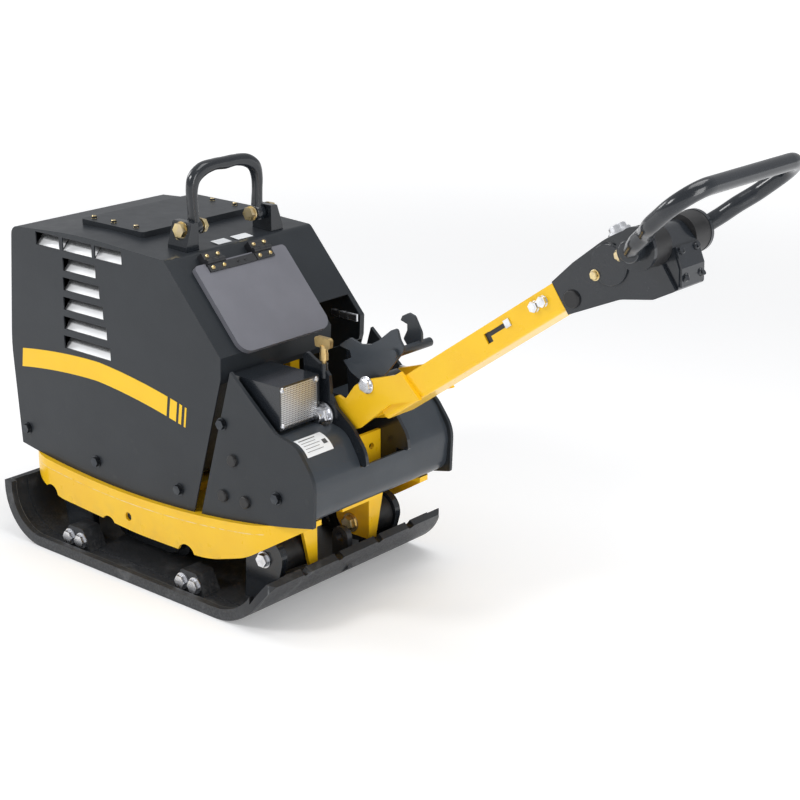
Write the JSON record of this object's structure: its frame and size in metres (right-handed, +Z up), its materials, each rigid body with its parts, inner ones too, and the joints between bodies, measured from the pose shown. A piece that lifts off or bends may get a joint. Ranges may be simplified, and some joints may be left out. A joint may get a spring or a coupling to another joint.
{
  "type": "plate compactor",
  "caption": "Reversible vibratory plate compactor with a hooded engine, lifting bow, hinged filler flap and a long yellow drawbar with a control bow",
  "frame": {"origin": "middle of the flat underside of the base plate, on the ground", "axes": "+X to the operator's handle, -Y to the near side with the filler flap's louvres, +Z up"},
  "size_m": [1.708, 0.55, 1.0158],
  "materials": {
    "cast_plate": "worn dark casting",
    "zinc_bolts": "silver zinc",
    "gold_zinc": "yellow zinc",
    "cast_housing": "rough casting",
    "bright_steel": "machined",
    "belt_rubber": "matt",
    "yellow_paint": "satin",
    "buffer_rubber": "matt",
    "black_parts": "matt",
    "anthracite_paint": "satin",
    "dark_steel": "satin",
    "flap_grey": "light satin",
    "brass_screw": "plain"
  },
  "bodies": {
    "base": {"base_plate": "cast_plate", "extension_plate_near": "cast_plate", "extension_plate_far": "cast_plate", "base_bolts": "zinc_bolts", "exciter_housing": "cast_housing", "exciter_covers": "cast_housing", "exciter_bearings": "bright_steel", "buffer_brackets": "yellow_paint", "rubber_buffers": "buffer_rubber", "v_belt": "belt_rubber"},
    "exciter_drive": {"drive_shaft": "bright_steel", "drive_weights": "bright_steel", "drive_gear": "bright_steel", "exciter_pulley": "bright_steel"},
    "exciter_driven": {"driven_shaft": "bright_steel", "driven_weights": "bright_steel", "driven_gear": "bright_steel"},
    "upper_frame": {"frame_deck": "yellow_paint", "frame_skirts": "yellow_paint", "frame_posts": "yellow_paint", "frame_bolts": "zinc_bolts", "engine_crankcase": "cast_housing", "engine_cylinder": "cast_housing", "muffler": "black_parts", "air_filter": "black_parts", "fuel_tank": "black_parts", "battery": "black_parts", "starter_motor": "black_parts", "hood_shell": "anthracite_paint", "hood_louvres": "bright_steel", "hood_top_cover": "anthracite_paint", "lift_frame": "yellow_paint", "lift_brackets": "dark_steel", "lift_bolts": "gold_zinc", "hinge_bases": "gold_zinc", "instrument_panel": "black_parts", "console_sides": "anthracite_paint", "console_panel": "anthracite_paint", "pivot_brackets": "dark_steel", "pivot_bolt": "zinc_bolts", "grille_box": "dark_steel", "grille_mesh": "bright_steel", "side_plugs": "buffer_rubber"},
    "crank": {"crankshaft": "bright_steel", "flywheel": "bright_steel", "clutch_pulley": "bright_steel"},
    "lifting_bow": {"lifting_bow": "dark_steel"},
    "flap": {"flap_door": "flap_grey", "flap_hinges": "gold_zinc"},
    "key": {"key_switch": "black_parts"},
    "stop_screw": {"stop_screw": "brass_screw"},
    "drawbar": {"drawbar_yoke": "yellow_paint", "drawbar_beam": "yellow_paint", "drawbar_bolts": "zinc_bolts", "handle_head": "dark_steel", "head_caps": "buffer_rubber", "head_cover": "dark_steel"},
    "latch": {"latch": "dark_steel"},
    "control_bow": {"control_bow": "dark_steel", "bow_sleeves": "buffer_rubber"}
  },
  "joints": [
    {"name": "suspension", "type": "slide", "parent": "base", "child": "upper_frame", "axis": [0, 0, 1], "range_m": [-0.004, 0.004], "stiffness_N_per_m": 400000, "springref_m": 0.00616, "deforming": ["rubber_buffers", "v_belt"]},
    {"name": "crank_spin", "type": "hinge", "parent": "upper_frame", "child": "crank", "pos_m": [0.01, 0.015, 0.33], "axis": [0, 1, 0], "continuous": true},
    {"name": "drive_spin", "type": "hinge", "parent": "base", "child": "exciter_drive", "pos_m": [0.01, 0, 0.083], "axis": [0, 1, 0], "continuous": true},
    {"name": "driven_spin", "type": "hinge", "parent": "base", "child": "exciter_driven", "pos_m": [-0.09, 0, 0.083], "axis": [0, 1, 0], "continuous": true},
    {"name": "bow_fold", "type": "hinge", "parent": "upper_frame", "child": "lifting_bow", "pos_m": [0.084, 0, 0.741], "axis": [0, 1, 0], "range_deg": [-88, 15]},
    {"name": "flap_hinge", "type": "hinge", "parent": "upper_frame", "child": "flap", "pos_m": [0.15728, 0, 0.68575], "axis": [0, -1, 0], "range_deg": [0, 110]},
    {"name": "key_turn", "type": "hinge", "parent": "upper_frame", "child": "key", "pos_m": [0.19602, 0.02042, 0.55273], "axis": [0.7443, 0, 0.6678], "range_deg": [0, 90]},
    {"name": "screw_turn", "type": "hinge", "parent": "upper_frame", "child": "stop_screw", "pos_m": [0.417, -0.063, 0.53], "axis": [0, 0, 1], "range_deg": [0, 180]},
    {"name": "drawbar_swing", "type": "hinge", "parent": "upper_frame", "child": "drawbar", "pos_m": [0.42, 0, 0.408], "axis": [0, -1, 0], "range_deg": [0, 40]},
    {"name": "latch_swing", "type": "hinge", "parent": "drawbar", "child": "latch", "pos_m": [0.52072, 0, 0.48721], "axis": [0, -1, 0], "range_deg": [-15, 30]},
    {"name": "control_swing", "type": "hinge", "parent": "drawbar", "child": "control_bow", "pos_m": [1.1522, 0, 0.86763], "axis": [0, -1, 0], "range_deg": [-15, 15]}
  ],
  "couplings": [
    {"joint": "drive_spin", "follows": "crank_spin", "ratio": 1.25},
    {"joint": "driven_spin", "follows": "crank_spin", "ratio": -1.25}
  ]
}
